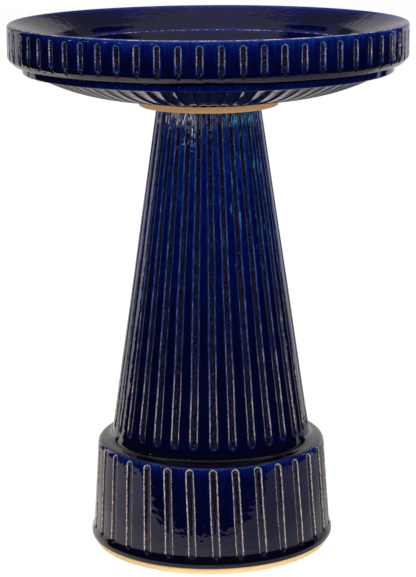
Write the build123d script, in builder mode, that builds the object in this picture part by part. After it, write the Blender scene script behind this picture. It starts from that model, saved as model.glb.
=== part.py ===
"""A two-piece glazed stoneware bird bath: a fluted bowl that rests on a hollow fluted pedestal.

The bath stands on z = 0 with its axis on +Z and its front towards -Y. Sizes are millimetres.
Points of a profile are (radius, height) pairs.
"""

import os
from math import asin, atan2, cos, hypot, pi, sin

from build123d import *

# Driving dimensions of the whole
HEIGHT = 698.0
BOWL_DIAMETER = 520.0
BASE_DIAMETER = 327.0
WALL = 11.0

# Bowl: fluted rim band, groove, plain second band, fluted underside and foot ring
RIM_RADIUS = BOWL_DIAMETER / 2
RIM_BAND_BOTTOM = HEIGHT - 48.0
RIM_CREST_RADIUS = RIM_RADIUS - 7.0
NECK_RADIUS = RIM_RADIUS - 24.0
SECOND_BAND_RADIUS = RIM_RADIUS - 18.5
SECOND_BAND_TOP = RIM_BAND_BOTTOM - 3.0
SECOND_BAND_BOTTOM = RIM_BAND_BOTTOM - 12.5
UNDERSIDE_OUTER_RADIUS = SECOND_BAND_RADIUS - 12.0
UNDERSIDE_SAG = 10.0
FOOT_RING_TOP = 603.3
FOOT_RING_BOTTOM = 589.5
FOOT_RING_RADIUS = 92.5
FOOT_RING_INNER_RADIUS = 74.0
SEAT_HEIGHT = 600.0

# Basin inside the bowl
RIM_SLOPE_FOOT = (206.0, 678.2)
COVE_FOOT = (199.5, 669.8)
BASIN_EDGE = (194.5, 669.8)
BASIN_WALL_FOOT = (171.0, 639.5)
BASIN_FLOOR = 615.5
BASIN_FLOOR_RADIUS = 104.0

# Pedestal: tapered column, rounded shoulder, drum and bare foot
COLUMN_TOP_RADIUS = 66.8
COLUMN_BOTTOM = (134.2, 143.6)
DRUM_TOP = (152.4, 141.5)
DRUM_BOTTOM = (160.4, 24.0)
BEAD_RADIUS = BASE_DIAMETER / 2
BEAD_HEIGHT = 14.5
FOOT_HEIGHT = 8.5
FOOT_RADIUS = 158.5
FOOT_INNER_RADIUS = 145.5

# Flutes: how many go round, how wide and deep each one is, and where the first one stands
RIM_FLUTES = 64
RIM_FLUTE_WIDTH = 7.0
RIM_FLUTE_DEPTH = 2.2
RIM_FLUTE_TOP = HEIGHT - 6.0
RIM_FLUTE_ANGLE = -91.6
UNDERSIDE_FLUTES = 72
UNDERSIDE_FLUTE_ANGLE = -86.7
UNDERSIDE_FLUTE_SHARE = 0.86
UNDERSIDE_FLUTE_PROPORTION = 0.13
PEDESTAL_FLUTES = 32
PEDESTAL_FLUTE_ANGLE = -87.2
COLUMN_FLUTE_TOP_WIDTH = 5.2
COLUMN_FLUTE_BOTTOM_WIDTH = 9.6
COLUMN_FLUTE_DEPTH = 2.2
COLUMN_FLUTE_BOTTOM = 160.0
DRUM_FLUTE_WIDTH = 9.4
DRUM_FLUTE_DEPTH = 2.6
DRUM_FLUTE_TOP = 138.0
DRUM_FLUTE_BOTTOM = 20.0

# Roundings of the profile's corners
FOOT_RING_OUTER_ROUNDING = 1.5
FOOT_RING_INNER_ROUNDING = 2.0
SECOND_BAND_ROUNDING = 2.0
NECK_ROUNDING = 1.0
RIM_FOOT_ROUNDING = 8.0
RIM_ROUNDING = 4.0
CREST_ROUNDING = 5.0
COVE_TOP_ROUNDING = 4.0
COVE_FOOT_ROUNDING = 3.0
BASIN_EDGE_ROUNDING = 2.0
BASIN_ROUNDING = 34.0
BASIN_FLOOR_SAG = 5.0
COLUMN_TOP_ROUNDING = 3.0
COLUMN_FOOT_ROUNDING = 8.0
SHOULDER_ROUNDING = 9.0
DRUM_FOOT_ROUNDING = 14.0
BEAD_TOP_ROUNDING = 4.0
BEAD_FOOT_ROUNDING = 2.0
HOLLOW_SHOULDER_ROUNDING = 10.0
FOOT_TAPER = 0.5
FOOT_RING_TAPER = 1.5

# Cutting tools: the run past an open end, the inset at a closed one, and the sections of a loft
TOOL_OVERRUN = 8.0
TOOL_INSET = 3.0
TOOL_STATIONS = 5


def between(lower, upper, height):
    """The point at this height on the straight line through two profile points."""
    share = (height - lower[1]) / (upper[1] - lower[1])
    return (lower[0] + share * (upper[0] - lower[0]), height)


def round_corner(sketch, point, radius):
    """Fillets the corner of a sketch that lies nearest to the point."""
    fillet(sketch.vertices().sort_by_distance(point)[0], radius)


def tool_radius(width, depth):
    """Radius of the round tool that cuts a groove of this width and depth."""
    return (width**2 / 4 + depth**2) / (2 * depth)


def flute_tool(lower, upper, lower_width, upper_width, depth):
    """A round-ended tapered rod that cuts one flute between two points of a wall."""
    wall_lean = atan2(upper[0] - lower[0], upper[1] - lower[1])
    radii = (tool_radius(lower_width, depth), tool_radius(upper_width, depth))
    ends = []
    for point, radius in zip((lower, upper), radii):
        reach = radius - depth
        ends.append(Vector(point[0] + reach * cos(wall_lean), 0, point[1] - reach * sin(wall_lean)))
    along = (ends[1] - ends[0]).normalized()
    length = (ends[1] - ends[0]).length
    with BuildPart() as tool:
        with BuildSketch(Plane(ends[0], x_dir=(along.Z, 0, -along.X), z_dir=(0, -1, 0))):
            Polygon((0, 0), (radii[0], 0), (radii[1], length), (0, length), align=None)
        revolve(axis=Axis(ends[0], along))
        for end, radius in zip(ends, radii):
            with Locations(end):
                Sphere(radius)
    return tool.part


def underside_arc():
    """Centre and radius of the arc that the fluted underside follows in the XZ plane."""
    inner = (FOOT_RING_RADIUS, FOOT_RING_TOP)
    outer = (UNDERSIDE_OUTER_RADIUS, SECOND_BAND_BOTTOM)
    chord = hypot(outer[0] - inner[0], outer[1] - inner[1])
    radius = (chord**2 / 4 + UNDERSIDE_SAG**2) / (2 * UNDERSIDE_SAG)
    rise = (radius - UNDERSIDE_SAG) / chord
    centre_r = (inner[0] + outer[0]) / 2 - rise * (outer[1] - inner[1])
    centre_z = (inner[1] + outer[1]) / 2 + rise * (outer[0] - inner[0])
    return centre_r, centre_z, radius


def underside_tool():
    """A lofted horn that cuts one flute of the underside. It widens and deepens towards the rim."""
    centre_r, centre_z, radius = underside_arc()
    first = asin((FOOT_RING_RADIUS + TOOL_INSET - centre_r) / radius)
    last = asin((UNDERSIDE_OUTER_RADIUS - TOOL_INSET - centre_r) / radius)
    with BuildPart() as tool:
        for station in range(TOOL_STATIONS):
            turn = first + (last - first) * station / (TOOL_STATIONS - 1)
            wall_r = centre_r + radius * sin(turn)
            wide = 2 * pi * wall_r / UNDERSIDE_FLUTES * UNDERSIDE_FLUTE_SHARE
            deep = wide * UNDERSIDE_FLUTE_PROPORTION
            drop = radius + deep
            spot = (centre_r + drop * sin(turn), 0, centre_z - drop * cos(turn))
            with BuildSketch(Plane(spot, x_dir=(0, 1, 0), z_dir=(cos(turn), 0, sin(turn)))):
                Ellipse(wide / 2 / cos(pi / 6), 2 * deep)
        loft()
    return tool.part


def make_bowl():
    """The bowl: one turned profile with flutes round the rim band and under the basin."""
    outer_foot = (FOOT_RING_RADIUS - FOOT_RING_TAPER, FOOT_RING_BOTTOM)
    inner_foot = (FOOT_RING_INNER_RADIUS, FOOT_RING_BOTTOM)
    ring_top = (FOOT_RING_RADIUS, FOOT_RING_TOP)
    underside_end = (UNDERSIDE_OUTER_RADIUS, SECOND_BAND_BOTTOM)
    band_foot = (SECOND_BAND_RADIUS, SECOND_BAND_BOTTOM)
    band_top = (SECOND_BAND_RADIUS, SECOND_BAND_TOP)
    neck_foot = (NECK_RADIUS, SECOND_BAND_TOP)
    neck_top = (NECK_RADIUS, RIM_BAND_BOTTOM)
    rim_foot = (RIM_RADIUS, RIM_BAND_BOTTOM)
    rim_top = (RIM_RADIUS, HEIGHT)
    crest = (RIM_CREST_RADIUS, HEIGHT)
    floor_edge = (BASIN_FLOOR_RADIUS, BASIN_FLOOR)
    with BuildPart() as bowl:
        with BuildSketch(Plane.XZ) as section:
            with BuildLine():
                Polyline((0, SEAT_HEIGHT), (FOOT_RING_INNER_RADIUS, SEAT_HEIGHT), inner_foot, outer_foot,
                         ring_top)
                SagittaArc(ring_top, underside_end, -UNDERSIDE_SAG)
                Polyline(underside_end, band_foot, band_top, neck_foot, neck_top, rim_foot, rim_top, crest,
                         RIM_SLOPE_FOOT, COVE_FOOT, BASIN_EDGE, BASIN_WALL_FOOT)
                SagittaArc(BASIN_WALL_FOOT, floor_edge, BASIN_FLOOR_SAG)
                Polyline(floor_edge, (0, BASIN_FLOOR), (0, SEAT_HEIGHT))
            make_face()
            round_corner(section, outer_foot, FOOT_RING_OUTER_ROUNDING)
            round_corner(section, inner_foot, FOOT_RING_INNER_ROUNDING)
            round_corner(section, band_foot, SECOND_BAND_ROUNDING)
            round_corner(section, band_top, SECOND_BAND_ROUNDING)
            round_corner(section, neck_foot, NECK_ROUNDING)
            round_corner(section, rim_foot, RIM_FOOT_ROUNDING)
            round_corner(section, rim_top, RIM_ROUNDING)
            round_corner(section, crest, CREST_ROUNDING)
            round_corner(section, RIM_SLOPE_FOOT, COVE_TOP_ROUNDING)
            round_corner(section, COVE_FOOT, COVE_FOOT_ROUNDING)
            round_corner(section, BASIN_EDGE, BASIN_EDGE_ROUNDING)
            round_corner(section, BASIN_WALL_FOOT, BASIN_ROUNDING)
        revolve(axis=Axis.Z)
        rim_tool = flute_tool(
            (RIM_RADIUS, RIM_BAND_BOTTOM - TOOL_OVERRUN), (RIM_RADIUS, RIM_FLUTE_TOP - RIM_FLUTE_WIDTH / 2),
            RIM_FLUTE_WIDTH, RIM_FLUTE_WIDTH, RIM_FLUTE_DEPTH,
        )
        with PolarLocations(0, RIM_FLUTES, RIM_FLUTE_ANGLE):
            add(rim_tool, mode=Mode.SUBTRACT)
        with PolarLocations(0, UNDERSIDE_FLUTES, UNDERSIDE_FLUTE_ANGLE):
            add(underside_tool(), mode=Mode.SUBTRACT)
    return bowl


def make_pedestal():
    """The pedestal: one hollow turned profile with flutes down its column and its drum."""
    column_top = (COLUMN_TOP_RADIUS, SEAT_HEIGHT)
    bead_top = (BEAD_RADIUS, BEAD_HEIGHT)
    bead_foot = (BEAD_RADIUS, FOOT_HEIGHT)
    hollow_shoulder = (DRUM_TOP[0] - WALL, COLUMN_BOTTOM[1] - WALL)
    hollow_column_foot = (COLUMN_BOTTOM[0] - WALL, COLUMN_BOTTOM[1] - WALL)
    hollow_top = (COLUMN_TOP_RADIUS - WALL, SEAT_HEIGHT)
    with BuildPart() as pedestal:
        with BuildSketch(Plane.XZ) as section:
            with BuildLine():
                Polyline(column_top, COLUMN_BOTTOM, DRUM_TOP, DRUM_BOTTOM, bead_top, bead_foot,
                         (FOOT_RADIUS, FOOT_HEIGHT), (FOOT_RADIUS - FOOT_TAPER, 0), (FOOT_INNER_RADIUS, 0),
                         hollow_shoulder, hollow_column_foot, hollow_top, column_top)
            make_face()
            round_corner(section, column_top, COLUMN_TOP_ROUNDING)
            round_corner(section, COLUMN_BOTTOM, COLUMN_FOOT_ROUNDING)
            round_corner(section, DRUM_TOP, SHOULDER_ROUNDING)
            round_corner(section, DRUM_BOTTOM, DRUM_FOOT_ROUNDING)
            round_corner(section, bead_top, BEAD_TOP_ROUNDING)
            round_corner(section, bead_foot, BEAD_FOOT_ROUNDING)
            round_corner(section, hollow_shoulder, HOLLOW_SHOULDER_ROUNDING)
            round_corner(section, hollow_column_foot, COLUMN_FOOT_ROUNDING)
        revolve(axis=Axis.Z)
        column_tool = flute_tool(
            between(COLUMN_BOTTOM, column_top, COLUMN_FLUTE_BOTTOM + COLUMN_FLUTE_BOTTOM_WIDTH / 2),
            between(COLUMN_BOTTOM, column_top, SEAT_HEIGHT + TOOL_OVERRUN),
            COLUMN_FLUTE_BOTTOM_WIDTH, COLUMN_FLUTE_TOP_WIDTH, COLUMN_FLUTE_DEPTH,
        )
        drum_tool = flute_tool(
            between(DRUM_BOTTOM, DRUM_TOP, DRUM_FLUTE_BOTTOM + DRUM_FLUTE_WIDTH / 2),
            between(DRUM_BOTTOM, DRUM_TOP, DRUM_FLUTE_TOP - DRUM_FLUTE_WIDTH / 2),
            DRUM_FLUTE_WIDTH, DRUM_FLUTE_WIDTH, DRUM_FLUTE_DEPTH,
        )
        with PolarLocations(0, PEDESTAL_FLUTES, PEDESTAL_FLUTE_ANGLE):
            add(column_tool, mode=Mode.SUBTRACT)
            add(drum_tool, mode=Mode.SUBTRACT)
    return pedestal


os.makedirs("parts", exist_ok=True)
bowl = make_bowl()
bowl.part.label = "bowl"
export_step(bowl.part, "parts/bowl.step")
pedestal = make_pedestal()
pedestal.part.label = "pedestal"
export_step(pedestal.part, "parts/pedestal.step")
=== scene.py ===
"""Looks of a glazed stoneware bird bath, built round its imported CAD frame.

Both castings are turned walls with flutes. Each is made as one closed mesh, row by row down its
profile, with its columns gathered at the edges of the flutes. Profiles are (radius, height) points in
millimetres, and the meshes are in metres.
"""

import math

import bmesh
import bpy
import numpy as np
from mathutils import Matrix, Vector


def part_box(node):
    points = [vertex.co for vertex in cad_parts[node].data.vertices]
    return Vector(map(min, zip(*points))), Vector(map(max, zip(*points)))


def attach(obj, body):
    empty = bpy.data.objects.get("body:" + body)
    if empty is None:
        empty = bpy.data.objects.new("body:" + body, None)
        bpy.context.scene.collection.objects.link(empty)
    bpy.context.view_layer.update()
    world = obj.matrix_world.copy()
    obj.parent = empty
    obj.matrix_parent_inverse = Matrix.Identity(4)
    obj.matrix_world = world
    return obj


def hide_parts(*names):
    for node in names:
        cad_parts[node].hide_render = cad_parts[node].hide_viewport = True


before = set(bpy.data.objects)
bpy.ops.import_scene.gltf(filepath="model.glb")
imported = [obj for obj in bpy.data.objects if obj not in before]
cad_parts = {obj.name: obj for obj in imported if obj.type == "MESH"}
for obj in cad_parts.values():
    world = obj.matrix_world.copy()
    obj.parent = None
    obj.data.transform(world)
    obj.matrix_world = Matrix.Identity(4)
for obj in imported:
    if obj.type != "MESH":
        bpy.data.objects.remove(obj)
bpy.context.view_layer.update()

MM = 0.001
FAR = 30.0  # mm, the value of a distance attribute where no edge is near
ARC_STEP = math.radians(14)  # about how far a rounded corner turns from point to point
LEAST_ARC_STEPS = 3
CLOSEST_ROWS = 0.05  # mm, rows nearer than this to each other become one

bowl_low, bowl_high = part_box("bowl")
foot_low, foot_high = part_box("pedestal")

# Main sizes, read from the frame, in mm
RIM_R = (bowl_high[0] - bowl_low[0]) / 2 / MM
CREST_Z = bowl_high[2] / MM
RING_Z = bowl_low[2] / MM
SEAT_Z = foot_high[2] / MM
BEAD_R = (foot_high[0] - foot_low[0]) / 2 / MM


def smooth(low, high, x):
    """Smoothstep from 0 at low to 1 at high."""
    t = np.clip((np.asarray(x, float) - low) / (high - low), 0, 1)
    return t * t * (3 - 2 * t)


# ---------------------------------------------------------------- profiles


def rounded(corners):
    """Points of a polyline of (r, z, corner radius), with each corner turned into an arc."""
    points = [np.array(corners[0][:2], float)]
    for before, here, after in zip(corners, corners[1:], corners[2:]):
        p, q, s = (np.array(c[:2], float) for c in (before, here, after))
        radius = here[2]
        if radius <= 0:
            points.append(q)
            continue
        a = (p - q) / np.linalg.norm(p - q)
        b = (s - q) / np.linalg.norm(s - q)
        half = math.acos(np.clip(a @ b, -1, 1)) / 2
        reach = radius / math.tan(half)
        middle = (a + b) / np.linalg.norm(a + b)
        centre = q + middle * radius / math.sin(half)
        start = q + a * reach - centre
        end = q + b * reach - centre
        turn = math.atan2(start[0] * end[1] - start[1] * end[0], start @ end)
        steps = max(LEAST_ARC_STEPS, int(abs(turn) / ARC_STEP))
        for k in range(steps + 1):
            cosine = math.cos(turn * k / steps)
            sine = math.sin(turn * k / steps)
            spoke = [cosine * start[0] - sine * start[1], sine * start[0] + cosine * start[1]]
            points.append(centre + np.array(spoke))
    points.append(np.array(corners[-1][:2], float))
    return np.array(points)


def divided(points, step):
    """The same polyline with no span longer than step, and its points kept."""
    closer = [points[0]]
    for p, q in zip(points, points[1:]):
        parts = max(1, math.ceil(np.linalg.norm(q - p) / step))
        closer += [p + (q - p) * k / parts for k in range(1, parts + 1)]
    return np.array(closer)


def run_length(points):
    """Distance along the polyline at each of its points."""
    return np.concatenate([[0], np.cumsum(np.linalg.norm(np.diff(points, axis=0), axis=1))])


def at_height(points, height):
    """Distance along a profile, which runs downwards here, to its first point at this height."""
    s = run_length(points)
    k = int(np.argmax(points[:, 1] <= height))
    share = (points[k - 1, 1] - height) / (points[k - 1, 1] - points[k, 1])
    return s[k - 1] + share * (s[k] - s[k - 1])


def at_radius(points, radius):
    """Distance along a profile, which runs outwards here, to its first point beyond this radius."""
    return run_length(points)[int(np.argmax(points[:, 0] > radius))]


def with_rows(points, rows):
    """The polyline with extra points at these distances along it."""
    s = run_length(points)
    new = np.unique(np.round(np.concatenate([s, [r for r in rows if 0 < r < s[-1]]]), 3))
    keep = np.concatenate([[True], np.diff(new) > CLOSEST_ROWS])
    new = new[keep]
    return np.stack([np.interp(new, s, points[:, 0]), np.interp(new, s, points[:, 1])], axis=1)


def inward(points):
    """Unit normals that point into the wall of a profile which runs down its outside."""
    along = np.gradient(points, axis=0)
    along /= np.linalg.norm(along, axis=1)[:, None]
    return np.stack([along[:, 1], -along[:, 0]], axis=1)


def arc_down(start, end, sag, steps):
    """Points of an arc that bulges downwards between two profile points."""
    p, q = np.array(start, float), np.array(end, float)
    chord = np.linalg.norm(q - p)
    radius = (chord**2 / 4 + sag**2) / (2 * sag)
    up = np.array([-(q - p)[1], (q - p)[0]]) / chord
    if up[1] < 0:
        up = -up
    centre = (p + q) / 2 + up * (radius - sag)
    a = math.atan2(*(p - centre)[::-1])
    b = math.atan2(*(q - centre)[::-1])
    t = np.linspace(a, b, steps)
    return centre + radius * np.stack([np.cos(t), np.sin(t)], axis=1)


# ---------------------------------------------------------------- values down a wall


def straight(*keys):
    """A function of the distance down the wall that runs straight between (distance, value) keys."""
    places, values = zip(*keys)
    return lambda s: float(np.interp(s, places, values))


def keyed(*keys):
    """The same as a look, which is a function of the distance down the wall and the height."""
    value = straight(*keys)
    return lambda s, z: value(s)


def always(value):
    """A look that is the same all over a wall."""
    return lambda s, z: value


# ---------------------------------------------------------------- meshes


class Flutes:
    """A ring of round-ended grooves down a turned wall, and the columns of mesh that follow their edges."""

    GROOVE = np.array([-1, -0.94, -0.82, -0.58, -0.22, 0.22, 0.58, 0.82, 0.94, 1])
    MARGINS = np.array([0.45, 1.3])  # mm outside an edge
    LAND = np.array([0.25, 0.5, 0.75])
    ARRIS = 0.16  # mm that the glaze rounds off at an edge
    ARRIS_RUN = 0.5  # mm over which it does so
    LEAST = 0.2  # mm, half a groove's mesh where the groove has ended
    MARGIN_SHARES = [0.12, 0.28]  # of the land, the most that the margins may take
    END_SHARES = (-0.5, -0.2, 0, 0.1, 0.25, 0.45, 0.7, 1.0, 1.4)  # of half a groove, the rows at its end
    BUNCH_AT = 75.0  # degrees from the front, where the flutes crowd to one side
    BUNCH_SPREAD = 32.0  # degrees

    # How uneven the flutes are: sideways, in width, at their ends and in how they wander, in mm or shares
    SHIFT = 0.5
    WIDTH_SPREAD = 0.06
    END_SPREAD = 0.7
    DRIFT = 0.22
    SHORT_DRIFT = 0.6
    WIDTH_WAVE = 0.04
    LONG_WAVE_RUN = 37.0
    SHORT_WAVE_RUN = 13.0
    WIDTH_WAVE_RUN = 17.0

    def __init__(self, count, first, half, ends, depth, seed, cut=0.9, lean=0.0, bunch=0.0, unevenness=1.0):
        """Half, the half width, and depth are functions of the distance down the wall, in mm.

        Ends are the distances down the wall between which the grooves lie, and one that is off the wall
        lets them run out over its end. First, where the first flute is, lean and bunch are in degrees. A
        groove's section is an arc, and cut is the sine of half the angle it turns through.
        """
        rng = np.random.default_rng(seed)
        self.count = count
        self.half = half
        self.depth = depth
        self.cut = cut
        self.lean = math.radians(lean)
        way = first + np.arange(count) * 360 / count
        off = ((way + 180) % 360 - 180 - self.BUNCH_AT) / self.BUNCH_SPREAD
        self.angle = np.radians(way + bunch * np.exp(-(off**2)))
        self.ends = ends
        self.shift = unevenness * rng.uniform(-self.SHIFT, self.SHIFT, count)
        self.wide = 1 + self.WIDTH_SPREAD * unevenness * rng.uniform(-1, 1, count)
        self.phase = rng.uniform(0, 2 * math.pi, (3, count))
        self.top = ends[0] + self.END_SPREAD * unevenness * rng.uniform(-1, 1, count)
        self.bottom = ends[1] + self.END_SPREAD * unevenness * rng.uniform(-1, 1, count)
        self.drift = self.DRIFT * unevenness

    def row(self, s, radius):
        """The columns at distance s down the wall: angle, how far sunk and how far from an edge, in mm."""
        turn = 2 * math.pi * radius
        waves = np.sin(s / self.LONG_WAVE_RUN + self.phase[0])
        waves += self.SHORT_DRIFT * np.sin(s / self.SHORT_WAVE_RUN + self.phase[1])
        share = np.clip((s - self.ends[0]) / (self.ends[1] - self.ends[0]), 0, 1) - 0.5
        middle = (self.angle + self.lean * share) * radius + self.shift + self.drift * waves
        half = self.half(s) * self.wide
        half *= 1 + self.WIDTH_WAVE * np.sin(s / self.WIDTH_WAVE_RUN + self.phase[2])
        over = np.maximum(0, self.top + half - s) + np.maximum(0, s - self.bottom + half)
        open_half = np.sqrt(np.maximum(half**2 - over**2, self.LEAST**2))
        gap = np.roll(middle, -1) - middle
        gap[-1] += turn
        free = gap - open_half - np.roll(open_half, -1)
        margins = np.minimum(self.MARGINS, np.outer(free, self.MARGIN_SHARES))
        inner = margins[:, 1:] + (free - 2 * margins[:, 1])[:, None] * self.LAND
        outer = free[:, None] - margins[:, ::-1]
        own = np.concatenate(
            [open_half[:, None] * self.GROOVE, open_half[:, None] + np.hstack([margins, inner, outer])],
            axis=1,
        )
        other = gap[:, None] - own
        edge = np.minimum(
            np.hypot(own, over[:, None]) - half[:, None],
            np.hypot(other, np.roll(over, -1)[:, None]) - np.roll(half, -1)[:, None],
        )
        sine = np.clip(1 - np.maximum(0, -edge) / half[:, None], 0, 1) * self.cut
        least = math.sqrt(1 - self.cut**2)
        bite = (np.sqrt(1 - sine**2) - least) / (1 - least)
        sink = np.where(edge < 0, self.ARRIS + (self.depth(s) - self.ARRIS) * bite, 0)
        sink += np.where(edge >= 0, self.ARRIS * np.exp(-np.maximum(edge, 0) / self.ARRIS_RUN), 0)
        angle = (middle[:, None] + own) / radius
        return angle.ravel(), sink.ravel(), edge.ravel()

    def end_rows(self):
        """Distances down the wall where the round ends of the grooves need closer rows."""
        rows = []
        for end, way in ((float(np.mean(self.top)), 1), (float(np.mean(self.bottom)), -1)):
            half = self.half(end)
            rows += [end + way * half * share for share in self.END_SHARES]
        return rows


class Shell:
    """A closed turned mesh, built ring by ring, with float attributes carried by its vertices.

    Edge, crest and clay are the distances from the edge of a flute, from a lip and into bare clay, in mm.
    Thin says how thin the glaze lies, from -1 in a pool to 1 and more near a crest; at the column's top,
    -1 also paints the shadow under the foot ring, and its highest values paint white glints and sheen.
    Line says how strongly the glaze breaks to cream at the edges of the flutes.
    """

    NAMES = {"edge": FAR, "crest": FAR, "clay": -FAR, "thin": 0.2, "line": 1.0}

    def __init__(self):
        self.count = 0
        self.points = []
        self.values = {name: [] for name in self.NAMES}
        self.faces = []
        self.last = None

    def ring(self, angle, radius, height, **values):
        """Adds one ring and joins it to the ring before, which may have other columns."""
        n = len(angle)
        radius = np.broadcast_to(radius, n)
        height = np.broadcast_to(height, n)
        xyz = np.stack([radius * np.sin(angle), -radius * np.cos(angle), height], axis=1) * MM
        self.points.append(xyz)
        for name, usual in self.NAMES.items():
            self.values[name].append(np.broadcast_to(values.get(name, usual), n).astype(float))
        ids = np.arange(self.count, self.count + n)
        self.count += n
        if self.last is not None:
            old_ids, old_angle = self.last
            if len(old_ids) == n:
                self.join(old_ids, ids)
            else:
                self.zip(old_ids, old_angle, ids, angle)
        self.last = (ids, angle)

    def join(self, a, b):
        """Quads between two rings of the same columns."""
        self.faces += np.stack([a, b, np.roll(b, -1), np.roll(a, -1)], axis=1).tolist()

    def zip(self, a_ids, a_angle, b_ids, b_angle):
        """Triangles between two rings of different columns."""
        full = 2 * math.pi
        start = int(np.argmin(np.abs((b_angle - a_angle[0] + math.pi) % full - math.pi)))
        b_ids = np.roll(b_ids, -start)
        b_angle = np.roll(b_angle, -start)
        a = np.unwrap(np.append(a_angle, a_angle[0] + full))
        b = np.unwrap(np.append(b_angle, b_angle[0]))
        b += full * round((a[0] - b[0]) / full)
        i = j = 0
        while i < len(a_ids) or j < len(b_ids):
            p, q = int(a_ids[i % len(a_ids)]), int(b_ids[j % len(b_ids)])
            if j == len(b_ids) or (i < len(a_ids) and a[i + 1] <= b[j + 1]):
                i += 1
                self.faces.append([p, q, int(a_ids[i % len(a_ids)])])
            else:
                j += 1
                self.faces.append([p, q, int(b_ids[j % len(b_ids)])])

    def wall(self, points, columns, **looks):
        """Rings down a profile with plain columns. Each look gives one attribute its values."""
        angle = np.arange(columns) * 2 * math.pi / columns
        for (radius, height), here in zip(points, run_length(points)):
            values = {name: look(here, height) for name, look in looks.items()}
            self.ring(angle, radius + swell(angle, height), height, **values)

    def fluted(self, points, flutes_at, fade=None, **looks):
        """Rings down a profile with the flutes that flutes_at gives for a distance down it cut into it.

        Fade scales their depth down the profile.
        """
        into = inward(points)
        for (radius, height), here, (nr, nz) in zip(points, run_length(points), into):
            angle, sink, edge = flutes_at(here).row(here, radius)
            if fade is not None:
                sink = sink * fade(here)
            values = {name: look(here, height) for name, look in looks.items()}
            reach = radius + nr * sink + swell(angle, height)
            self.ring(angle, reach, height + nz * sink, edge=edge, **values)

    def tip(self, height):
        """Closes the last ring with a fan to a point on the axis."""
        ids = self.last[0]
        self.faces += [[int(a), self.count, int(b)] for a, b in zip(ids, np.roll(ids, -1))]
        self.lone(height)

    def start_tip(self, height):
        """Closes the first ring with a fan to a point on the axis."""
        ids = np.arange(len(self.points[0]))
        self.faces += [[self.count, int(a), int(b)] for a, b in zip(ids, np.roll(ids, -1))]
        self.lone(height)

    def lone(self, height):
        """Adds a point on the axis."""
        self.points.append(np.array([[0, 0, height]]) * MM)
        for name, usual in self.NAMES.items():
            self.values[name].append(np.array([usual]))
        self.count += 1

    def close(self):
        """Joins the last ring back to the first, for a wall that goes all the way round."""
        first = np.arange(len(self.points[0]))
        first_angle = np.arctan2(self.points[0][:, 0], -self.points[0][:, 1])
        if len(first) == len(self.last[0]):
            self.join(self.last[0], first)
        else:
            self.zip(self.last[0], self.last[1], first, first_angle)

    def build(self, name, material):
        """The finished Blender object, with its faces turned outwards."""
        mesh = bpy.data.meshes.new(name)
        mesh.from_pydata(np.concatenate(self.points).tolist(), [], self.faces)
        for key in self.NAMES:
            layer = mesh.attributes.new(key, "FLOAT", "POINT")
            layer.data.foreach_set("value", np.concatenate(self.values[key]).astype(np.float32))
        turned = bmesh.new()
        turned.from_mesh(mesh)
        bmesh.ops.recalc_face_normals(turned, faces=turned.faces)
        turned.to_mesh(mesh)
        turned.free()
        mesh.shade_smooth()
        mesh.materials.append(material)
        piece = bpy.data.objects.new(name, mesh)
        bpy.context.scene.collection.objects.link(piece)
        return piece


SWELL = 0.12  # mm, how uneven a pressed and fired wall is
SWELL_WAVES = ((1.0, 3, 61, 0.0), (0.7, 7, -43, 1.3), (0.5, 13, 29, 4.1))  # share, lobes, run in mm, phase
SWELL_MOST = sum(wave[0] for wave in SWELL_WAVES)


def swell(angle, height):
    """The unevenness of a wall, in mm, which never takes it outwards."""
    total = SWELL_MOST
    for share, lobes, run, phase in SWELL_WAVES:
        total = total + share * np.sin(lobes * angle + height / run + phase)
    return -SWELL * total


# ---------------------------------------------------------------- the bowl

# Sizes of the bowl that its box doesn't give, in mm
RIM_FOOT = CREST_Z - 48.0
NECK_R = RIM_R - 24.0
NECK_TOP = RIM_FOOT - 4.0
BAND_R = RIM_R - 18.5
BAND_TOP = RIM_FOOT - 4.8
BAND_FOOT = RIM_FOOT - 14.8
UNDERSIDE_R = BAND_R - 12.0
RING_TOP = CREST_Z - 94.6
RING_R = 91.0
SEAT_R = 74.0
RING_TOP_R = RING_R + 2.4
BASIN_FLOOR = CREST_Z - 82.5
FLOOR_R = 104.0
WALL_FOOT = (171.5, CREST_Z - 58.4)
EDGE_R = 193.6
COVE_R = 200.0
RIM_FLUTES = 64
RIBS = 72


def make_basin(shell):
    """The basin's floor and wall, the edge at its top, and the slope of the rim up to the crest."""
    profile = rounded([
        (6.0, BASIN_FLOOR, 0), (FLOOR_R, BASIN_FLOOR, 110), (*WALL_FOOT, 36),
        (EDGE_R, CREST_Z - 29.2, 1.5), (EDGE_R + 2.2, CREST_Z - 27.6, 1.5), (COVE_R, CREST_Z - 28.2, 2.5),
        (COVE_R + 6.0, CREST_Z - 19.8, 4.0), (RIM_R - 10.0, CREST_Z - 2.2, 0),
    ])
    profile = divided(profile, 5.0)
    edge = at_radius(profile, EDGE_R - 0.6)
    cove = at_radius(profile, COVE_R - 1.0)
    end = run_length(profile)[-1]
    thin = keyed(
        (edge - 5, 0.1), (edge - 1.5, 0.3), (edge, 0.6), (cove, 0.5), (cove + 3, 0.25), (cove + 8, 0.15),
        (end - 10, 0.2), (end, 0.7),
    )
    shell.wall(profile, columns=240, crest=lambda s, z: 0.52 + abs(s - edge) * 0.5, thin=thin)


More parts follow.
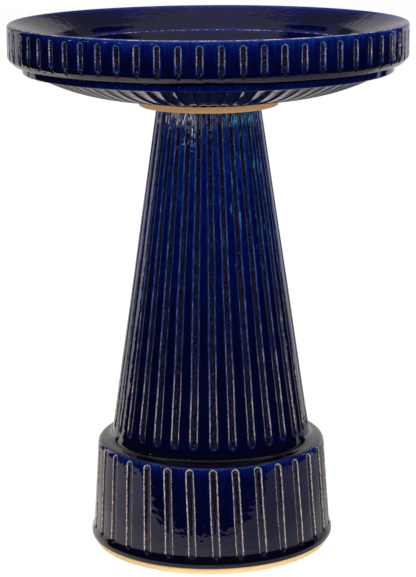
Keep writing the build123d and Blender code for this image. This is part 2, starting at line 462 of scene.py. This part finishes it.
def make_rim(shell):
    """The rim's crest, its fluted band, and the underside that slopes in to the neck."""
    profile = rounded([
        (RIM_R - 9.0, CREST_Z - 1.8, 0), (RIM_R - 6.0, CREST_Z - 0.3, 4.0), (RIM_R, CREST_Z, 4.0),
        (RIM_R, RIM_FOOT + 4.2, 7.0), (RIM_R - 7.5, RIM_FOOT - 3.3, 2.0), (RIM_R - 15.0, NECK_TOP, 0.8),
        (NECK_R + 1.0, NECK_TOP, 0),
    ])
    profile = divided(profile, 7.0)
    top = at_height(profile, CREST_Z - 6.7)
    end = at_height(profile, RIM_FOOT + 0.5)
    crest = run_length(profile)[int(np.argmax(profile[:, 1] > CREST_Z - 0.25))] + 2.0
    flutes = Flutes(RIM_FLUTES, -2.25, lambda s: 3.5, (top, end + 30.0), lambda s: 2.3, seed=11, bunch=1.1)
    profile = with_rows(profile, flutes.end_rows())
    low = at_height(profile, RIM_FOOT + 8.0)
    shell.fluted(
        profile, lambda s: flutes, fade=lambda s: 1 - float(smooth(low, low + 7.0, s)),
        crest=lambda s, z: abs(s - crest),
        thin=keyed((crest, 1.0), (top, 0.65), (top + 12, 0.3), (low, -0.1)),
        line=keyed((top, 0.46), (low - 7, 0.53), (low - 3, 0.06), (low, 0)),
    )


def make_band(shell):
    """The narrow neck and the plain second band."""
    profile = rounded([
        (NECK_R, NECK_TOP - 0.3, 0), (NECK_R, BAND_TOP, 0.6), (BAND_R, BAND_TOP, 1.6),
        (BAND_R, BAND_FOOT, 1.8), (UNDERSIDE_R, BAND_FOOT, 0),
    ])
    profile = divided(profile, 4.0)
    lip = at_height(profile, BAND_TOP - 1.5)
    profile = with_rows(profile, [lip - 0.8, lip, lip + 0.8])
    shell.wall(profile, columns=256, thin=keyed((lip - 0.8, -1.0), (lip + 0.8, 0.5)))


def make_underside(shell):
    """The ribbed underside, which bulges down from the second band to the foot ring."""
    profile = arc_down((UNDERSIDE_R - 0.6, BAND_FOOT - 0.2), (RING_TOP_R, RING_TOP), sag=10.0, steps=17)
    length = run_length(profile)[-1]
    fall = (UNDERSIDE_R - RING_R - 2.0) / length

    def pitch(s):
        """Width of one rib and one hollow, which narrows towards the foot ring."""
        return 2 * math.pi * (UNDERSIDE_R - fall * s) / RIBS

    hollows = Flutes(
        RIBS, 2.5, lambda s: 0.43 * pitch(s), (-8.0, length + 4.0), lambda s: 0.11 * pitch(s), seed=23,
        cut=0.866, unevenness=0.7,
    )
    shell.fluted(
        profile, lambda s: hollows,
        fade=lambda s: float(smooth(0.0, 3.0, s) * (1 - smooth(length - 3.0, length, s))),
        line=always(0.0), thin=always(-0.7),
    )


def make_foot_ring(shell):
    """The foot ring of bare clay, with the seat inside it."""
    profile = rounded([
        (RING_R + 1.5, RING_TOP - 0.2, 0), (RING_R, RING_Z, 2.0), (SEAT_R + 1.5, RING_Z, 2.0),
        (SEAT_R, SEAT_Z, 1.5), (8.0, SEAT_Z, 0),
    ])
    glaze_end = at_height(profile, RING_Z + 8.2)
    profile = divided(profile, 6.0)
    # Thin 0 gives the foot ring the darker tan clay, partly its own tint and partly painted shade.
    shell.wall(profile, columns=256, clay=lambda s, z: s - glaze_end, thin=always(0.0))


def make_bowl(material):
    """The bowl, from the middle of the basin out over the rim and back in under it to the seat."""
    shell = Shell()
    make_basin(shell)
    make_rim(shell)
    make_band(shell)
    make_underside(shell)
    make_foot_ring(shell)
    shell.tip(SEAT_Z)
    shell.start_tip(BASIN_FLOOR)
    return shell.build("bowl_body", material)


# ---------------------------------------------------------------- the pedestal

# Sizes of the pedestal that its box doesn't give, in mm
COLUMN_TOP_R = 66.8
COLUMN_FOOT = (134.2, 143.6)
DRUM_TOP = (152.4, 141.5)
DRUM_FOOT = (160.4, 24.0)
BEAD_FOOT = 8.6
FOOT_R = 158.0
PEDESTAL_FLUTES = 32
COLUMN_FLUTES_FOOT = 159.0
DRUM_FLUTES_TOP = 138.6
DRUM_FLUTES_FOOT = 20.0
GLAZE_FOOT = 8.55
HOLLOW_TOP = 132.6  # of the wide hollow in the drum
UNDER_RING = (589.5, 587.5, 572.0)  # painted shadow under the ring ends; painted glints and flecks start, end


def make_pedestal(material):
    """The pedestal: fluted column, rounded shoulder, fluted drum and bare foot, hollow inside."""
    outside = rounded([
        (COLUMN_TOP_R - 4.5, SEAT_Z, 0), (COLUMN_TOP_R, SEAT_Z, 3.0), (*COLUMN_FOOT, 8.0), (*DRUM_TOP, 9.0),
        (*DRUM_FOOT, 14.0), (BEAD_R, 14.5, 4.0), (BEAD_R, BEAD_FOOT, 2.0),
        (FOOT_R + 0.5, BEAD_FOOT - 0.1, 0.6), (FOOT_R, 0.6, 0), (FOOT_R - 0.6, 0.0, 0), (151.5, 0.0, 0),
    ])
    outside = divided(outside, 11.0)

    def down(height):
        """Distance down the outside to this height."""
        return at_height(outside, height)

    column_end = down(COLUMN_FLUTES_FOOT)
    drum_start = down(DRUM_FLUTES_TOP)
    column = Flutes(
        PEDESTAL_FLUTES, 0.9, straight((down(SEAT_Z - 3.0), 3.1), (column_end, 4.7)), (-12.0, column_end),
        lambda s: 2.2, seed=31, lean=0.6,
    )
    drum = Flutes(
        PEDESTAL_FLUTES, 1.35, lambda s: 4.7, (drum_start, down(DRUM_FLUTES_FOOT)), lambda s: 2.6,
        seed=31, lean=1.5,
    )
    under_ring = [down(height) for height in UNDER_RING]
    outside = with_rows(outside, column.end_rows() + drum.end_rows() + under_ring)
    shadow_end, glint_and_fleck_start, glint_and_fleck_end = under_ring
    shoulder = (column_end + drum_start) / 2
    glaze_end = down(GLAZE_FOOT)
    # Painted light at the column's top: the first key, -1, paints the shadow under the foot ring, and the
    # high values after it lighten the glaze and paint white glints and sheen there.
    thin = keyed(
        (shadow_end, -1.0), (glint_and_fleck_start, 1.3), (glint_and_fleck_end, 1.15), (down(545), 0.8), (down(480), 0.5),
        (down(400), 0.3), (down(340), 0.14), (down(300), 0.0), (down(153), -0.1), (down(150), -1.0),
        (drum_start - 6, -1.0), (drum_start - 2.5, 0.8), (drum_start, 0.7), (drum_start + 14, 0.1),
        (down(26), 0.0), (down(23.5), -1.0), (glaze_end, -1.0), (glaze_end + 0.6, 1.0),
    )
    line = keyed(
        (down(588), 0.40), (down(560), 0.34), (down(530), 0.2), (down(500), 0.15), (down(300), 0.33),
        (down(220), 0.57), (down(171), 0.66), (down(163), 0.04), (drum_start - 3, 0.04), (drum_start, 0.9),
        (down(27), 1.0), (down(22.5), 0.0),
    )
    shell = Shell()
    shell.fluted(
        outside, lambda s: column if s < shoulder else drum,
        clay=lambda s, z: s - glaze_end if s > shoulder else -FAR, thin=thin, line=line,
    )
    inside = rounded([
        (148.5, 0.0, 0), (145.5, 0.0, 1.5), (141.4, HOLLOW_TOP, 10.0), (123.2, HOLLOW_TOP, 8.0),
        (COLUMN_TOP_R - 11.0, SEAT_Z, 3.0), (COLUMN_TOP_R - 7.5, SEAT_Z, 0),
    ])
    shell.wall(divided(inside, 30.0), columns=160, clay=always(FAR), thin=always(0.6))
    shell.close()
    return shell.build("pedestal_body", material)


# ---------------------------------------------------------------- finish


class Nodes:
    """Short calls for the nodes of one material or world."""

    def __init__(self, tree):
        self.tree = tree
        self.tree.nodes.clear()

    def add(self, kind, inputs=None, **settings):
        node = self.tree.nodes.new(kind)
        for name, value in settings.items():
            setattr(node, name, value)
        for key, value in (inputs or {}).items():
            self.feed(node.inputs[key], value)
        return node

    def feed(self, socket, value):
        if isinstance(value, bpy.types.NodeSocket):
            self.tree.links.new(value, socket)
        else:
            socket.default_value = value

    def maths(self, operation, first, *others):
        """One operation on two values, or on more, from the left."""
        result = first
        for value in others or [None]:
            node = self.add("ShaderNodeMath", operation=operation)
            self.feed(node.inputs[0], result)
            if value is not None:
                self.feed(node.inputs[1], value)
            result = node.outputs[0]
        return result

    def times(self, *values):
        return self.maths("MULTIPLY", *values)

    def plus(self, *values):
        return self.maths("ADD", *values)

    def swing(self, noise, amount):
        """A noise, which is about 0.5, turned into one that is about 0."""
        return self.times(self.maths("SUBTRACT", noise, 0.5), amount)

    def between(self, value, low, high, out_low=0.0, out_high=1.0):
        """A smooth step of value from low to high."""
        inputs = {"Value": value, "From Min": low, "From Max": high, "To Min": out_low, "To Max": out_high}
        return self.add("ShaderNodeMapRange", inputs, interpolation_type="SMOOTHSTEP").outputs[0]

    def mix(self, share, a, b):
        return self.add("ShaderNodeMix", {0: share, 6: a, 7: b}, data_type="RGBA").outputs[2]

    def grey(self, value):
        return self.add("ShaderNodeCombineXYZ", {0: value, 1: value, 2: value}).outputs[0]

    def noise(self, where, scale, detail=2.0, roughness=0.5):
        inputs = {"Vector": where, "Scale": scale, "Detail": detail, "Roughness": roughness}
        return self.add("ShaderNodeTexNoise", inputs).outputs[0]

    def drawn(self, across, down, detail):
        """A noise with one scale across and another down, so that it is drawn out or squeezed."""
        scaled = self.add("ShaderNodeMapping", {"Vector": self.where, "Scale": (across, across, down)})
        return self.noise(scaled.outputs[0], 1.0, detail)

    def attribute(self, name):
        return self.add("ShaderNodeAttribute", attribute_name=name).outputs["Fac"]

    def place(self):
        """Object coordinates, whole and by axis, in metres."""
        self.where = self.add("ShaderNodeTexCoord").outputs["Object"]
        return self.add("ShaderNodeSeparateXYZ", {0: self.where}).outputs


# Colours of the glaze and the clay, linear
POOLED_AND_SHADOW = (0.0008, 0.0007, 0.004, 1)
COBALT_DEEP = (0.0003, 0.0004, 0.0075, 1)
COBALT = (0.0004, 0.0014, 0.027, 1)
COBALT_THIN = (0.0018, 0.010, 0.085, 1)
ROYAL = (0.004, 0.025, 0.14, 1)
FLUTE_DARK = (0.0012, 0.0010, 0.0065, 1)
FLUTE_GREY = (0.016, 0.014, 0.023, 1)
HALO = (0.0012, 0.011, 0.070, 1)
TURQUOISE = (0.03, 0.26, 0.38, 1)
FROST_AND_SHEEN = (0.22, 0.30, 0.48, 1)
LINE_BLUE = (0.032, 0.056, 0.165, 1)
LINE_CREAM = (0.47, 0.385, 0.265, 1)
# Crest: glaze broken pale over the lip, with a painted highlight in it
CREST = (0.38, 0.34, 0.32, 1)
# Painted glint white, for the left of the column's top
PAINTED_GLINT_WHITE = (0.80, 0.84, 0.90, 1)
CLAY_TAN = (0.45, 0.25, 0.10, 1)
CLAY_CREAM = (0.76, 0.54, 0.26, 1)

GLOSS = 0.025  # roughness of the glaze
BROKEN_ROUGH = 0.2  # what a broken edge adds to it
CLAY_ROUGH = 0.65  # what bare clay adds to it
PEEL = 0.00026  # m, the glaze's orange peel
WAVE = 0.0003  # m, its slower unevenness
GRIT = 0.0002  # m, the turning marks in the clay


class Glaze(Nodes):
    """Cobalt glaze, broken to cream over edges and pooled dark in the flutes, and bare clay at the feet,
    with painted shadow, glints and sheen at the column's top.
    """

    def __init__(self, tree):
        super().__init__(tree)
        self.side, _, self.up = self.place()
        edge, self.crest, self.clay, self.thin, self.line = (self.attribute(name) for name in Shell.NAMES)
        self.wander = self.swing(self.noise(self.where, 240, 2), 1.3)
        self.edge = self.plus(edge, self.wander)
        self.away = self.maths("ABSOLUTE", self.edge)
        self.grain = self.noise(self.where, 620, 2, 0.6)
        self.mottle = self.noise(self.where, 70, 3, 0.6)
        self.streaks = self.drawn(420, 24, 2)
        self.turned = self.drawn(40, 900, 3)
        # where the column stands clear of the foot ring, and the two sides of its top
        self.below_bowl = self.between(self.up, 0.596, 0.600, 1.0, 0.0)
        left = self.between(self.side, -0.024, -0.014, 1.0, 0.0)
        right = self.between(self.side, 0.014, 0.028)
        self.flanks = self.maths("MAXIMUM", left, right)

    def body(self):
        """The glaze away from its edges, lighter where it is thin, with a painted shadow in the middle of
        the column's top under the bowl and painted shade towards the left side.
        """
        # Painted shadow: the middle of the column's top, just under the bowl, is made darker.
        middle = self.maths("SUBTRACT", 1.0, self.flanks)
        painted_shadow = self.times(middle, self.below_bowl, self.between(self.up, 0.570, 0.584))
        share = self.plus(self.thin, self.swing(self.mottle, 0.6))
        share = self.plus(share, self.swing(self.noise(self.where, 14, 2), 0.6))
        share = self.plus(share, self.swing(self.streaks, 1.0))
        share = self.plus(share, self.swing(self.grain, 1.0))
        # Painted shade darkens the left side, x from -0.25 to -0.10 m, and the painted shadow darkens the
        # middle of the column's top.
        share = self.maths("SUBTRACT", share, self.between(self.side, -0.25, -0.10, 0.35, 0.0), painted_shadow)
        colour = self.mix(self.between(share, 0.0, 0.5), COBALT_DEEP, COBALT)
        colour = self.mix(self.between(share, 0.5, 1.0), colour, COBALT_THIN)
        colour = self.mix(self.between(share, 1.05, 1.5), colour, ROYAL)
        halo = self.between(self.away, 0.5, 2.2, 1.0, 0.0)
        halo = self.times(halo, self.between(self.line, 0.0, 0.1, 0.0, 0.7))
        colour = self.mix(halo, colour, HALO)
        fine = self.noise(self.where, 1400, 1)
        dust = self.times(self.between(fine, 0.6, 0.75), self.between(self.thin, -0.5, 0.2, 0.0, 0.25))
        colour = self.mix(dust, colour, HALO)
        # Glaze pooled dark in hollows; on the column's top under the bowl the same dark paints the shadow.
        return self.mix(self.between(share, -0.7, -0.25, 1.0, 0.0), colour, POOLED_AND_SHADOW)

    def pools(self, colour):
        """Dark pools with grey pits in the flutes."""
        pitted = self.mix(self.between(self.grain, 0.5, 0.66), FLUTE_DARK, FLUTE_GREY)
        return self.mix(self.between(self.edge, -1.25, -0.45, 1.0, 0.0), colour, pitted)

    def glints_and_flecks(self, colour):
        """Where thin is highest, at the column's top: painted white glints on the left and turquoise specks
        of thin glaze on the right. Turquoise threads down the right side, and pale streaks that are partly
        pale thin glaze and partly painted sheen.
        """
        dashes = self.between(self.drawn(620, 60, 1), 0.59, 0.65)
        glint_and_fleck_zone = self.between(self.thin, 1.08, 1.2, 0.0, 0.95)
        glint_and_fleck = self.times(dashes, glint_and_fleck_zone, self.flanks, self.below_bowl)
        shade = self.mix(self.between(self.side, -0.005, 0.025), PAINTED_GLINT_WHITE, TURQUOISE)
        colour = self.mix(glint_and_fleck, colour, shade)
        thread = self.between(self.drawn(260, 20, 2), 0.64, 0.72)
        thread = self.times(thread, self.between(self.thin, 0.15, 0.5, 0.0, 0.35), self.below_bowl)
        thread = self.times(thread, self.between(self.side, 0.005, 0.03), self.between(self.up, 0.18, 0.26))
        colour = self.mix(thread, colour, TURQUOISE)
        # Pale streaks where the glaze is thinnest: partly pale thin glaze, partly painted sheen of
        # reflections.
        frost_and_sheen = self.times(self.between(self.plus(self.thin, self.swing(self.grain, 1.0)), 1.0, 1.65), 0.6)
        return self.mix(self.times(frost_and_sheen, self.between(self.streaks, 0.42, 0.6)), colour, FROST_AND_SHEEN)

    def edges(self, colour):
        """Pale lines where the glaze breaks over the edges of the flutes and over a lip; the lip's line is
        also a painted highlight.
        """
        beads = self.between(self.grain, 0.38, 0.60, 0.15, 1.0)
        uneven = self.between(self.streaks, 0.40, 0.60, 0.2, 1.0)
        uneven = self.maths("MAXIMUM", uneven, self.between(self.line, 0.3, 0.6))
        broken = self.times(self.between(self.away, 0.25, 0.85, 1.0, 0.0), beads)
        broken = self.times(broken, self.between(self.line, 0.0, 0.2, 0.0, 0.9), uneven)
        warm = self.between(self.plus(self.line, self.swing(self.mottle, 1.0)), 0.2, 0.9)
        colour = self.mix(broken, colour, self.mix(warm, LINE_BLUE, LINE_CREAM))
        # The lip line: glaze breaking pale, and a painted highlight.
        lip = self.between(self.plus(self.crest, self.wander), 0.1, 0.8, 1.0, 0.0)
        lip = self.times(lip, self.between(self.mottle, 0.35, 0.6, 0.25, 0.8))
        return self.mix(lip, colour, CREST), self.plus(broken, lip)

    def clay_body(self, bare, colour):
        """Bare clay with turning marks: cream where thin is high and tan where it is low. The foot ring's
        darker tan is partly its own tint and partly painted shade.
        """
        body = self.mix(self.thin, CLAY_TAN, CLAY_CREAM)
        body = self.mix(self.between(self.turned, 0.3, 0.7, 0.0, 0.35), body, CLAY_TAN)
        return self.mix(bare, colour, body)

    def relief(self, bare):
        """Orange peel and waves in the glaze, and grit in the bare clay."""
        peel = self.times(self.noise(self.where, 120, 1), PEEL)
        wave = self.times(self.noise(self.where, 35, 1), WAVE)
        grit = self.times(self.turned, bare, GRIT)
        height = self.plus(peel, wave, grit)
        return self.add("ShaderNodeBump", {"Height": height, "Distance": 1.0, "Strength": 1.0}).outputs[0]

    def surface(self):
        """Puts the layers together."""
        colour, broken = self.edges(self.glints_and_flecks(self.pools(self.body())))
        bare = self.between(self.plus(self.clay, self.times(self.wander, 0.5)), -0.25, 0.25)
        rough = self.plus(self.times(broken, BROKEN_ROUGH), GLOSS, self.times(bare, CLAY_ROUGH))
        shader = self.add("ShaderNodeBsdfPrincipled", {
            "Base Color": self.clay_body(bare, colour), "Roughness": rough, "Normal": self.relief(bare),
            "IOR": 1.5,
        })
        self.add("ShaderNodeOutputMaterial", {"Surface": shader.outputs[0]})


def new_material(name):
    """A material that is ready for nodes."""
    material = bpy.data.materials.new(name)
    material.use_nodes = True
    return material


glaze = new_material("cobalt_glaze")
Glaze(glaze.node_tree).surface()
bowl = make_bowl(glaze)
pedestal = make_pedestal(glaze)
for piece, node in ((bowl, "bowl"), (pedestal, "pedestal")):
    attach(piece, node)
    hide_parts(node)


# ---------------------------------------------------------------- studio

ROOM_DARK = 0.012  # what the glaze reflects where there is no light
OVERHEAD = 0.55
WHITE = 1.05
DIFFUSE_FILL = 0.6
FLOOR_HALF = 9.0
PAPER_FRONT = -0.40  # where the paper that the glaze reflects ends, in front, on the left and on the right
PAPER_LEFT = -0.72
PAPER_RIGHT = 0.80
PAPER_TONES = ((0.84, 0.77, 0.76, 1), (0.35, 0.34, 0.36, 1))  # left and right
GLOW_TINT = (1.0, 0.95, 0.95)
BACKDROP_Y = 0.65
BACKDROP_X = (-0.70, 0.80)
BACKDROP_TOP = 1.5
STRIP_LEFT = ((-0.632, 0.272), (-0.578, 0.380))
STRIP_RIGHT = ((0.668, 0.206), (0.652, 0.254))
STRIP_TOP = 1.0
GLINT_TOP = 0.72
GLINT_AWAY = 1.0
GLINT_HALF = 0.9  # degrees
GLINTS = (26.0, 34.0, 43.0, 52.0, 62.0, 73.0)  # degrees from the front, towards the left

# Light over height: (height in metres, strength)
BACKDROP_LIGHT = [
    (0.001, 0.8), (0.55, 0.75), (0.80, 0.5), (0.93, 0.38), (0.965, 0.11), (0.99, 0.07), (1.10, 0.07),
    (1.14, 0.22), (1.499, 0.22),
]
STRIP_LEFT_LIGHT = [(0.001, 1.4), (0.50, 1.4), (0.56, 0.8), (0.999, 0.8)]
STRIP_RIGHT_LIGHT = [(0.001, 0.8), (0.999, 0.8)]
GLINT_LIGHT = [(0.683, 0.0), (0.692, 16.0), (0.712, 16.0), (0.714, 0.0)]


def sheet(name, corners, material):
    """A flat sheet through these corners, as staging."""
    mesh = bpy.data.meshes.new(name)
    mesh.from_pydata(corners, [], [list(range(len(corners)))])
    mesh.materials.append(material)
    flat = bpy.data.objects.new(name, mesh)
    bpy.context.scene.collection.objects.link(flat)
    return flat


def floor_material():
    """White paper, which the glaze reflects only a little way round the object, darker on the right."""
    material = new_material("floor_white")
    n = Nodes(material.node_tree)
    x, y, _ = n.place()
    front = n.between(n.plus(y, n.times(x, 0.13)), PAPER_FRONT - 0.005, PAPER_FRONT + 0.005)
    left = n.between(x, PAPER_LEFT - 0.02, PAPER_LEFT + 0.02)
    right = n.between(x, PAPER_RIGHT - 0.02, PAPER_RIGHT + 0.02, 1.0, 0.0)
    sides = n.times(left, right)
    tone = n.mix(n.between(x, -0.5, 0.5), *PAPER_TONES)
    away = n.maths("SQRT", n.plus(n.times(x, x), n.times(y, y)))
    near = n.grey(n.between(away, 0.28, 0.38, 1.35, 1.0))
    tone = n.add("ShaderNodeVectorMath", {0: tone, 1: near}, operation="MULTIPLY").outputs[0]
    shine = n.mix(n.times(front, sides), (ROOM_DARK, ROOM_DARK, 0.014, 1), tone)
    glow = n.add("ShaderNodeEmission", {"Color": shine, "Strength": 1.0})
    paper = n.add("ShaderNodeBsdfPrincipled", {
        "Base Color": (0.3, 0.3, 0.3, 1), "Roughness": 0.9, "Specular IOR Level": 0.0,
        "Emission Color": (1, 1, 1, 1), "Emission Strength": 0.8,
    })
    glossy = n.add("ShaderNodeLightPath").outputs["Is Glossy Ray"]
    both = n.add("ShaderNodeMixShader", {0: glossy, 1: paper.outputs[0], 2: glow.outputs[0]})
    n.add("ShaderNodeOutputMaterial", {"Surface": both.outputs[0]})
    return material


def glow_material(name, stops, top):
    """Light that changes with height, from the floor up to the top."""
    material = new_material(name)
    n = Nodes(material.node_tree)
    z = n.place()[2]
    ramp = n.add("ShaderNodeValToRGB", {0: n.maths("DIVIDE", z, top)})
    elements = ramp.color_ramp.elements
    elements.remove(elements[1])
    for height, strength in stops:
        stop = elements.new(height / top)
        stop.color = (*(strength * part for part in GLOW_TINT), 1)
    elements.remove(elements[0])
    glow = n.add("ShaderNodeEmission", {"Color": ramp.outputs[0], "Strength": 1.0})
    n.add("ShaderNodeOutputMaterial", {"Surface": glow.outputs[0]})
    return material


def upright(name, start, end, height, material):
    """A standing sheet over a line on the floor, which shows in the glaze's reflections alone."""
    corners = [(*start, 0), (*end, 0), (*end, height), (*start, height)]
    card = sheet(name, corners, material)
    card.visible_camera = False
    card.visible_diffuse = False
    card.visible_shadow = False
    card.visible_transmission = False


def left_of_front(degrees):
    """A point on the floor, this far round from the front to the left."""
    angle = math.radians(degrees)
    return (-GLINT_AWAY * math.sin(angle), -GLINT_AWAY * math.cos(angle))


floor_corners = [(a * FLOOR_HALF, b * FLOOR_HALF, 0) for a, b in ((-1, -1), (1, -1), (1, 1), (-1, 1))]
sheet("floor", floor_corners, floor_material())
backdrop_glow = glow_material("backdrop_glow", BACKDROP_LIGHT, BACKDROP_TOP)
upright("backdrop", *[(x, BACKDROP_Y) for x in BACKDROP_X], BACKDROP_TOP, backdrop_glow)
strip_right_glow = glow_material("strip_glow", STRIP_RIGHT_LIGHT, STRIP_TOP)
strip_left_glow = glow_material("strip_left_glow", STRIP_LEFT_LIGHT, STRIP_TOP)
upright("strip_left", *STRIP_LEFT, STRIP_TOP, strip_left_glow)
upright("strip_right", *STRIP_RIGHT, STRIP_TOP, strip_right_glow)
glint_glow = glow_material("glint_glow", GLINT_LIGHT, GLINT_TOP)
for k, middle in enumerate(GLINTS):
    ends = left_of_front(middle - GLINT_HALF), left_of_front(middle + GLINT_HALF)
    upright(f"glint_{k}", *ends, GLINT_TOP, glint_glow)


def lamp(name, place, aim, size, power):
    """A square soft light that the glaze doesn't reflect."""
    data = bpy.data.lights.new(name, "AREA")
    data.shape = "RECTANGLE"
    data.size = size
    data.size_y = size
    data.energy = power
    light = bpy.data.objects.new(name, data)
    bpy.context.scene.collection.objects.link(light)
    way = (Vector(aim) - Vector(place)).to_track_quat("-Z", "Y")
    light.matrix_world = Matrix.Translation(place) @ way.to_matrix().to_4x4()
    light.visible_glossy = False


lamp("key", (-0.8, -2.7, 2.4), aim=(0, 0, 0.35), size=1.4, power=84)
lamp("fill", (1.2, -2.5, 1.8), aim=(0, 0, 0.35), size=1.4, power=60)
lamp("top", (0, 0.4, 3.0), aim=(0, 0, 0), size=2.4, power=90)


def make_world():
    """White to the camera. The glaze reflects a soft light overhead and a dark room round it."""
    world = bpy.data.worlds.new("studio")
    world.use_nodes = True
    bpy.context.scene.world = world
    n = Nodes(world.node_tree)
    way = n.add("ShaderNodeTexCoord").outputs["Generated"]
    _, y, z = n.add("ShaderNodeSeparateXYZ", {0: way}).outputs
    above = n.times(n.between(z, 0.76, 0.84), n.between(y, 0.34, 0.48, 1.0, 0.0))
    shine = n.grey(n.maths("MAXIMUM", n.times(above, OVERHEAD), ROOM_DARK))
    path = n.add("ShaderNodeLightPath").outputs
    shine = n.mix(path["Is Diffuse Ray"], shine, (*[DIFFUSE_FILL] * 3, 1))
    shine = n.mix(path["Is Camera Ray"], shine, (*[WHITE] * 3, 1))
    light = n.add("ShaderNodeBackground", {"Color": shine, "Strength": 1.0})
    n.add("ShaderNodeOutputWorld", {"Surface": light.outputs[0]})


make_world()


# ---------------------------------------------------------------- camera

CAMERA_PLACE = (-0.0026, -2.556, 0.924)
CAMERA_TILT = 77.2  # degrees up from straight down
CAMERA_ROLL = -0.42  # degrees
CAMERA_LENS = 122.75  # mm
CAMERA_SENSOR = 36.0  # mm

camera = bpy.data.objects.new("camera", bpy.data.cameras.new("camera"))
bpy.context.scene.collection.objects.link(camera)
camera.data.lens = CAMERA_LENS
camera.data.sensor_width = CAMERA_SENSOR
tilt = Matrix.Rotation(math.radians(CAMERA_TILT), 4, "X")
roll = Matrix.Rotation(math.radians(CAMERA_ROLL), 4, "Z")
camera.matrix_world = Matrix.Translation(CAMERA_PLACE) @ tilt @ roll
bpy.context.scene.camera = camera
bpy.context.scene.view_settings.view_transform = "Standard"
